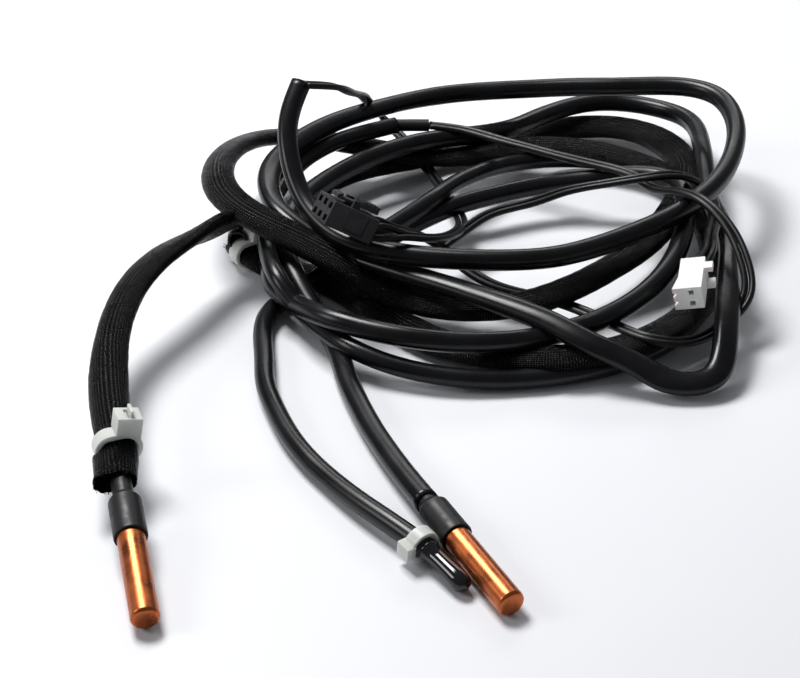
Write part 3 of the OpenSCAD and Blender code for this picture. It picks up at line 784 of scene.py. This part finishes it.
class SENSORS_OT_sleeve(bpy.types.Operator):
    """Builds the woven sleeve of the first pipe probe"""
    bl_idname = "sensors.sleeve"
    bl_label = "Woven sleeve"

    def execute(self, context):
        curve = lay_strands()["woven_sleeve"]
        run = run_of(curve)
        wide, thick = sizes().sleeve_wide / MM, sizes().sleeve_thick / MM
        wander = 0.22 * np.sin(run / 11.0) + 0.15 * np.sin(run / 4.7 + 1.3)
        opened = np.clip(1 - run / SLEEVE_OPEN_RUN, 0, 1)
        held = np.exp(-((run - TIE_AT) / TIE_PINCH) ** 2)
        w = wide + wander * (1 - held) + 0.3 * opened - (wide - TIE_WIDE) * held
        t = thick + 0.12 * np.sin(run / 7.3) * (1 - held) + 0.35 * held + 1.5 * opened
        roll = 0.28 * np.sin(run / 52.0) * np.clip((run - 20) / 20, 0, 1)
        roll += TWIST * np.exp(-((run - TWIST_AT) / TWIST_RUN) ** 2)
        room = np.arcsin(np.clip((curve[:, 2] - t / 2 - 0.05) / (w / 2), 0, 1))
        roll = np.clip(roll, -room, room)
        draw = np.random.default_rng(11)
        rough = draw.uniform(-0.016, 0.016, (len(curve), SLEEVE_AROUND))
        shift = -SLEEVE_SHIFT * opened
        parts = [tube_mesh(curve, w, t, roll, SLEEVE_POWER, SLEEVE_AROUND, SLEEVE_WALL,
                           SLEEVE_DEEP, shift, ("frayed", "frayed"), rough)]
        parts += self.loose_threads(curve, w, t, shift, draw)
        obj = mesh_object("sleeve", *merged(parts))
        finish_piece(obj, BODY, material("woven braid"),
                     ["sleeve_lead", "coil"])
        return {"FINISHED"}

    def loose_threads(self, curve, w, t, shift, draw):
        """Short threads that stand out of both cut ends."""
        ahead, side, up = frames(curve)
        parts = []
        for at, sense in ((0, -1), (len(curve) - 1, 1)):
            for _ in range(LOOSE_THREADS):
                a = draw.uniform(0, 2 * math.pi)
                half_wide, half_thick = w[at] / 2 - THREAD_INSET, t[at] / 2 - THREAD_INSET
                root = (curve[at] + side[at] * (math.cos(a) * half_wide + shift[at])
                        + up[at] * math.sin(a) * half_thick)
                out = (ahead[at] * sense * draw.uniform(0.3, 0.9)
                       + side[at] * math.cos(a) * draw.uniform(-0.1, 0.35)
                       + up[at] * math.sin(a) * draw.uniform(-0.1, 0.3))
                line = np.array([root - ahead[at] * sense * 0.5, root, root + out * 0.6,
                                 root + out])
                parts.append(tube_mesh(line, THREAD_WIDE, THREAD_WIDE, around=5,
                                       ends=("flat", "flat")))
        return parts


PRESSED = (312, 532)        # mm along probe B's tubing where it is pressed flat
PRESSED_EASE = 14
KINK_AT = 361               # mm along it to the sharp fold
KINK_RUN = 3.2
KINK_SWELL = 0.5
TUBE_WALL = 0.55
TUBE_AROUND = 32
TUBE_DEEP = 5.0


class SENSORS_OT_tubing(bpy.types.Operator):
    """Builds the three lengths of PVC tubing"""
    bl_idname = "sensors.tubing"
    bl_label = "Tubing"

    def execute(self, context):
        shapes = lay_strands()
        tube, thin = sizes().tube / MM, sizes().tube_air / MM
        self.one("tubing_a", shapes["tube_a"], tube, tube, 0.0, 2.0, ["coil"],
                 ("open", "open"), "bare")
        curve = shapes["tube_b"]
        run = run_of(curve)
        pressed = eased(run, *PRESSED, PRESSED_EASE)
        wide = tube + (sizes().flat_wide / MM - tube) * pressed
        thick = tube + (sizes().flat_thick / MM - tube) * pressed
        kink = KINK_SWELL * np.exp(-((run - KINK_AT) / KINK_RUN) ** 2)
        wide = wide + kink
        thick = thick - kink
        roll = 0.35 * np.sin((run - PRESSED[0]) / 34.0) * pressed
        self.one("tubing_b", curve, wide, thick, roll, 2.25,
                 ["tube_lead_b", "tube_loop_b", "coil"], ("flat", "open"), "bare", tube)
        self.one("tubing_c", shapes["tube_c"], thin, thin, 0.0, 2.0,
                 ["tube_lead_c", "tube_tail_c", "coil"], ("flat", "flat"), "fitting",
                 with_pieces=["tie_ring_c", "splice_shrink"])
        return {"FINISHED"}

    def one(self, name, curve, wide, thick, roll, power, nodes, ends, far_end, width=None,
            with_pieces=()):
        """One length of tubing whose section wanders a little from its sizes."""
        draw = np.random.default_rng(len(curve))
        soft = draw.uniform(-1, 1, len(curve) + 24)
        soft = np.convolve(soft, np.ones(25) / 25, "valid")[:len(curve)]
        wide = as_rows(wide, len(curve)) * (1 + 0.05 * soft)
        thick = as_rows(thick, len(curve)) * (1 - 0.05 * soft)
        parts = tube_mesh(curve, wide, thick, roll, power, TUBE_AROUND, TUBE_WALL, TUBE_DEEP,
                          ends=ends)
        obj = mesh_object(name, *parts)
        finish_piece(obj, BODY, material("tubing"), nodes)


PART_RUN = 9.0              # mm from a plug over which a pair's wires part
PLUG_TURN = (-33, -10, -68)
PLUG_HALF_PITCH = 1.4
HEADER_TURN = (4, -13, -13)
HEADER_HALF_PITCH = 1.27


class SENSORS_OT_wires(bpy.types.Operator):
    """Builds the pairs of thin wires that run to both plugs"""
    bl_idname = "sensors.wires"
    bl_label = "Thin wires"

    def execute(self, context):
        shapes = lay_strands()
        plug_rows = turn_of(PLUG_TURN) @ np.array([0, 0, 1.0])
        header_rows = turn_of(HEADER_TURN) @ np.array([0, 0, 1.0])
        self.pair("wires_probe_b", shapes["wires_a"], ["wires_tail_a"], plug_rows,
                  PLUG_HALF_PITCH, "plug",
                  ["plug_housing", "plug_latch", "plug_contacts", "plug_wire_stubs"])
        self.pair("wires_air", shapes["wires_b"], ["wires_tail_b", "wires_plug"], plug_rows,
                  PLUG_HALF_PITCH, "object")
        self.pair("wires_probe_a", shapes["wires_header"][::-1], ["wires_header"],
                  header_rows, HEADER_HALF_PITCH, "plug",
                  ["header_housing", "header_contacts"])
        return {"FINISHED"}

    def pair(self, name, curve, nodes, rows, gap, far_end, with_pieces=()):
        """Two wires side by side that part to the plug's rows at their end."""
        wire = sizes().wire / MM
        run = run_of(curve)
        _, side, _ = frames(curve)
        apart = np.full(len(curve), wire / 2 + 0.02)
        apart = apart + 0.10 * np.sin(run / 9.0) ** 2 * np.clip(run / 12, 0, 1)
        k = np.clip(1 - (run[-1] - run) / PART_RUN, 0, 1)
        k = k * k * (3 - 2 * k)
        sense = math.copysign(1, float(side[-1] @ rows))
        across = side * (1 - k)[:, None] + rows * sense * k[:, None]
        apart = apart * (1 - k) + gap * k
        across /= np.linalg.norm(across, axis=1)[:, None]
        parts = []
        for hand in (-1, 1):
            line = curve + across * (apart * hand)[:, None]
            parts.append(tube_mesh(line, wire, wire, around=14, ends=("flat", "flat")))
        obj = mesh_object(name, *merged(parts))
        finish_piece(obj, BODY, material("wire skin"), nodes)


class SENSORS_OT_probes(bpy.types.Operator):
    """Dresses the copper shells and what is inside them"""
    bl_idname = "sensors.probes"
    bl_label = "Copper probes"

    def execute(self, context):
        for letter in "ab":
            dress_node("probe_shell_" + letter, material("drawn copper"), 0.05)
            dress_node("potting_" + letter, material("resin"), 0.05)
            dress_node("bead_" + letter, material("glass bead"))
            dress_node("lead_wires_" + letter, material("wire skin"))
        return {"FINISHED"}


class SENSORS_OT_collars(bpy.types.Operator):
    """Dresses the shrink collars and the shrink tube over the splice"""
    bl_idname = "sensors.collars"
    bl_label = "Shrink collars"

    def execute(self, context):
        for name in ("collar_a", "collar_b", "splice_shrink"):
            dress_node(name, material("shrink"), 0.22, 3)
        return {"FINISHED"}


TIP_END = (26.2302, -6.9504, 1.8)               # mm
TIP_BACK = (-0.58456, 0.80458, 0.10455)         # direction from its end to the tubing
TIP_AROUND = 36
# Outline of the dipped tip: (distance from its end, radius), in mm.
DROP = ((0.03, 0.32), (0.12, 0.66), (0.3, 1.0), (0.55, 1.28), (0.9, 1.52), (1.35, 1.69),
        (1.9, 1.78), (2.8, 1.82), (4.0, 1.80), (5.5, 1.74), (7.0, 1.68), (8.2, 1.65),
        (9.2, 1.70), (9.9, 1.82), (10.4, 1.95), (10.8, 2.0), (11.0, 2.0))


class SENSORS_OT_air_probe(bpy.types.Operator):
    """Dresses the dipped tip of the air probe and what is inside it"""
    bl_idname = "sensors.air_probe"
    bl_label = "Air probe"

    def execute(self, context):
        end, back = np.array(TIP_END), np.array(TIP_BACK)
        side = np.cross(back, [0, 0, 1.0])
        side /= np.linalg.norm(side)
        up = np.cross(side, back)
        around = TIP_AROUND
        verts, faces, uvs = [end], [], [(0.0, 0.0)]
        for along, radius in DROP:
            for k in range(around):
                a = 2 * math.pi * k / around
                verts.append(end + back * along
                             + radius * (side * math.cos(a) + up * math.sin(a)))
                uvs.append((along, radius * a))
        for k in range(around):
            faces.append((0, 1 + (k + 1) % around, 1 + k))
        for ring in range(len(DROP) - 1):
            base = 1 + ring * around
            for k in range(around):
                j = (k + 1) % around
                faces.append((base + k, base + j, base + around + j, base + around + k))
        last = 1 + (len(DROP) - 1) * around
        faces.append(tuple(last + k for k in range(around)))
        tip = mesh_object("air_probe_tip", np.array(verts) * MM, faces, uvs)
        finish_piece(tip, BODY, material("epoxy"), ["dipped_tip_c"])
        dress_node("bead_c", material("glass bead"))
        dress_node("lead_wires_c", material("tin"))
        return {"FINISHED"}


class SENSORS_OT_ties(bpy.types.Operator):
    """Dresses the cable ties and the ring tie"""
    bl_idname = "sensors.ties"
    bl_label = "Ties"

    def execute(self, context):
        edge = sizes().tie_edge / MM
        for name in ("tie_strap_a", "tie_strap_d", "tie_ring_c"):
            dress_node(name, material("nylon"), edge * 0.7, 2)
        for name in ("tie_head_a", "tie_head_d"):
            dress_node(name, material("nylon"), edge, 3)
        dress_node("tie_pawl_a", material("nylon"), 0.05)
        return {"FINISHED"}


class SENSORS_OT_plugs(bpy.types.Operator):
    """Dresses both plugs, their contacts and the latch"""
    bl_idname = "sensors.plugs"
    bl_label = "Plugs"

    def execute(self, context):
        edge = sizes().plug_edge / MM
        dress_node("plug_housing", material("black plastic"), edge, 2)
        dress_node("plug_latch", material("black plastic"), edge * 0.6, 2)
        dress_node("header_housing", material("white plastic"), edge, 2)
        dress_node("plug_contacts", material("tin"))
        dress_node("header_contacts", material("tin"))
        dress_node("plug_wire_stubs", material("wire skin"))
        return {"FINISHED"}


# Name, place, target, width, depth (all in metres) and power in watts.
LAMPS = (
    ("top light", (-0.20, 0.36, 0.60), (0.03, 0.09, 0.0), 0.30, 0.22, 5.6),
    ("left light", (-0.70, 0.00, 0.42), (0.02, 0.08, 0.0), 0.26, 0.26, 1.6),
    ("back light", (0.15, 0.95, 0.50), (0.04, 0.09, 0.01), 0.50, 0.20, 1.2),
)
TABLE_HALF = 3
TABLE_DROP = 0.00005
ROOM_COLOUR = (0.93, 0.95, 1.0, 1)
ROOM_STRENGTH = 0.17


class SENSORS_OT_stage(bpy.types.Operator):
    """Builds the table and the soft studio light"""
    bl_idname = "sensors.stage"
    bl_label = "Table and light"

    def execute(self, context):
        corners = [(x * TABLE_HALF, y * TABLE_HALF, 0)
                   for x, y in ((-1, -1), (1, -1), (1, 1), (-1, 1))]
        floor = mesh_object("table", corners, [(0, 1, 2, 3)], smooth=False)
        floor.location.z = -TABLE_DROP
        w = Wiring("table top")
        base = tuple(colours().floor)
        w.link(w.ramp(w.noise(14, 3.0), [(0.3, tint(base, 0.985)), (0.7, tint(base, 1.01))]),
               w.shader.inputs["Base Color"])
        w.link(w.spread(w.noise(60, 4.0), 0.42, 0.52), w.shader.inputs["Roughness"])
        w.set(Specular_IOR_Level=0.35)
        floor.data.materials.append(w.material)
        for lamp in LAMPS:
            self.lamp(*lamp)
        world = bpy.data.worlds.new("room")
        world.use_nodes = True
        sky = world.node_tree.nodes["Background"]
        sky.inputs["Color"].default_value = ROOM_COLOUR
        sky.inputs["Strength"].default_value = ROOM_STRENGTH
        context.scene.world = world
        context.scene.view_settings.view_transform = "Standard"
        return {"FINISHED"}

    def lamp(self, name, place, target, wide, deep, power):
        """One rectangular lamp turned to its target."""
        data = bpy.data.lights.new(name, "AREA")
        data.shape = "RECTANGLE"
        data.size = wide
        data.size_y = deep
        data.energy = power
        light = bpy.data.objects.new(name, data)
        light.location = place
        aim = Vector(target) - Vector(place)
        light.rotation_euler = aim.to_track_quat("-Z", "Y").to_euler()
        bpy.context.scene.collection.objects.link(light)


STEPS = (SENSORS_OT_camera, SENSORS_OT_sleeve, SENSORS_OT_tubing, SENSORS_OT_wires,
         SENSORS_OT_probes, SENSORS_OT_collars, SENSORS_OT_air_probe, SENSORS_OT_ties,
         SENSORS_OT_plugs, SENSORS_OT_stage)


class SENSORS_PT_panel(bpy.types.Panel):
    """Lists the steps in the sidebar"""
    bl_idname = "SENSORS_PT_panel"
    bl_label = "Temperature sensors"
    bl_space_type = "VIEW_3D"
    bl_region_type = "UI"
    bl_category = "Sensors"

    def draw(self, context):
        for group in (sizes(), colours()):
            box = self.layout.box()
            for name in group.__annotations__:
                box.prop(group, name)
        for step in STEPS:
            self.layout.operator(step.bl_idname)


CLASSES = (SensorSizes, SensorColours) + STEPS + (SENSORS_PT_panel,)


def register():
    """Adds the classes and the user's sizes and colours."""
    for cls in CLASSES:
        bpy.utils.register_class(cls)
    bpy.types.Scene.sensor_sizes = bpy.props.PointerProperty(type=SensorSizes)
    bpy.types.Scene.sensor_colours = bpy.props.PointerProperty(type=SensorColours)


def unregister():
    """Takes away what register added."""
    del bpy.types.Scene.sensor_colours
    del bpy.types.Scene.sensor_sizes
    for cls in reversed(CLASSES):
        bpy.utils.unregister_class(cls)


def main():
    """Runs every step."""
    register()
    for step in STEPS:
        group, name = step.bl_idname.split(".")
        getattr(getattr(bpy.ops, group), name)()


if __name__ == "__main__":
    main()
